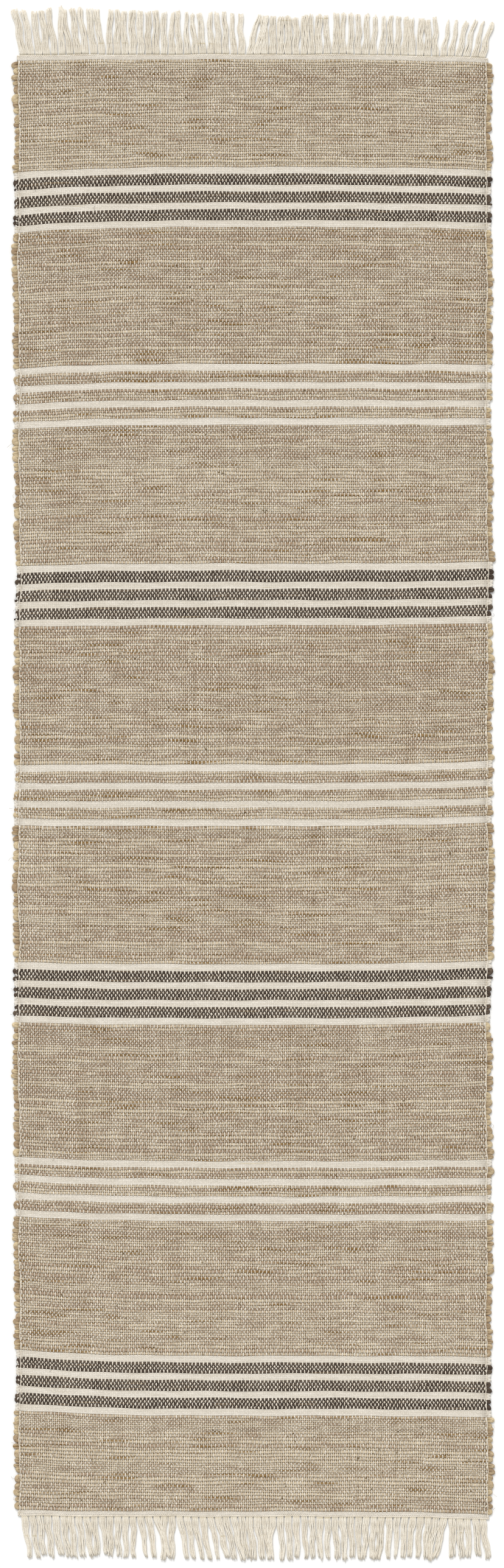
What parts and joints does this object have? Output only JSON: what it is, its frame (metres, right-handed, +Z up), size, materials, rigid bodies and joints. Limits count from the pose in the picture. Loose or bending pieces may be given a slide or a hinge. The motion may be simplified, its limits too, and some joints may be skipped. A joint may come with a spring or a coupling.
{
  "type": "runner rug",
  "caption": "Long flat-woven jute and cotton runner rug with charcoal and cream cross stripes, bound edges and a knotted fringe at both ends; its ends fold in.",
  "frame": {"origin": "on the floor, under the middle of the whole rug with its fringe", "axes": "+Y along the rug towards its far end, +X across it to the right, +Z up out of the floor"},
  "size_m": [0.755, 2.4342, 0.0046],
  "materials": {
    "natural_jute_yarn": "spun jute, matt and hairy",
    "charcoal_jute_yarn": "dyed spun jute, matt and hairy",
    "cream_cotton_yarn": "plied cotton, matt"
  },
  "bodies": {
    "middle_body": {"field_2_middle_weft": "natural_jute_yarn", "field_3_middle_weft": "natural_jute_yarn", "field_4_middle_weft": "natural_jute_yarn", "field_5_middle_weft": "natural_jute_yarn", "field_6_middle_weft": "natural_jute_yarn", "field_7_middle_weft": "natural_jute_yarn", "middle_selvedge_cord_left": "cream_cotton_yarn", "middle_selvedge_cord_right": "cream_cotton_yarn", "middle_warp": "cream_cotton_yarn", "stripe_2_cotton_weft": "cream_cotton_yarn", "stripe_2_natural_weft": "natural_jute_yarn", "stripe_3_charcoal_weft": "charcoal_jute_yarn", "stripe_3_cotton_weft": "cream_cotton_yarn", "stripe_4_cotton_weft": "cream_cotton_yarn", "stripe_4_natural_weft": "natural_jute_yarn", "stripe_5_charcoal_weft": "charcoal_jute_yarn", "stripe_5_cotton_weft": "cream_cotton_yarn", "stripe_6_cotton_weft": "cream_cotton_yarn", "stripe_6_natural_weft": "natural_jute_yarn"},
    "far_flap_body": {"far_flap_selvedge_cord_left": "cream_cotton_yarn", "far_flap_selvedge_cord_right": "cream_cotton_yarn", "far_flap_warp": "cream_cotton_yarn", "far_heading": "cream_cotton_yarn", "far_twined_edge": "cream_cotton_yarn", "field_1_far_flap_weft": "natural_jute_yarn", "field_2_far_flap_weft": "natural_jute_yarn", "stripe_1_charcoal_weft": "charcoal_jute_yarn", "stripe_1_cotton_weft": "cream_cotton_yarn"},
    "far_fringe_body": {"far_fringe": "cream_cotton_yarn"},
    "near_flap_body": {"field_7_near_flap_weft": "natural_jute_yarn", "field_8_near_flap_weft": "natural_jute_yarn", "near_flap_selvedge_cord_left": "cream_cotton_yarn", "near_flap_selvedge_cord_right": "cream_cotton_yarn", "near_flap_warp": "cream_cotton_yarn", "near_heading": "cream_cotton_yarn", "near_twined_edge": "cream_cotton_yarn", "stripe_7_charcoal_weft": "charcoal_jute_yarn", "stripe_7_cotton_weft": "cream_cotton_yarn"},
    "near_fringe_body": {"near_fringe": "cream_cotton_yarn"}
  },
  "joints": [
    {"name": "far_fold", "type": "hinge", "parent": "middle_body", "child": "far_flap_body", "pos_m": [0, 0.68825, 0.007], "axis": [1, 0, 0], "range_deg": [0, 180]},
    {"name": "far_fringe_fold", "type": "hinge", "parent": "far_flap_body", "child": "far_fringe_body", "pos_m": [0, 1.14915, 0.0049], "axis": [1, 0, 0], "range_deg": [0, 180]},
    {"name": "near_fold", "type": "hinge", "parent": "middle_body", "child": "near_flap_body", "pos_m": [0, -0.70975, 0.007], "axis": [-1, 0, 0], "range_deg": [0, 180]},
    {"name": "near_fringe_fold", "type": "hinge", "parent": "near_flap_body", "child": "near_fringe_body", "pos_m": [0, -1.14915, 0.0049], "axis": [-1, 0, 0], "range_deg": [0, 180]}
  ]
}
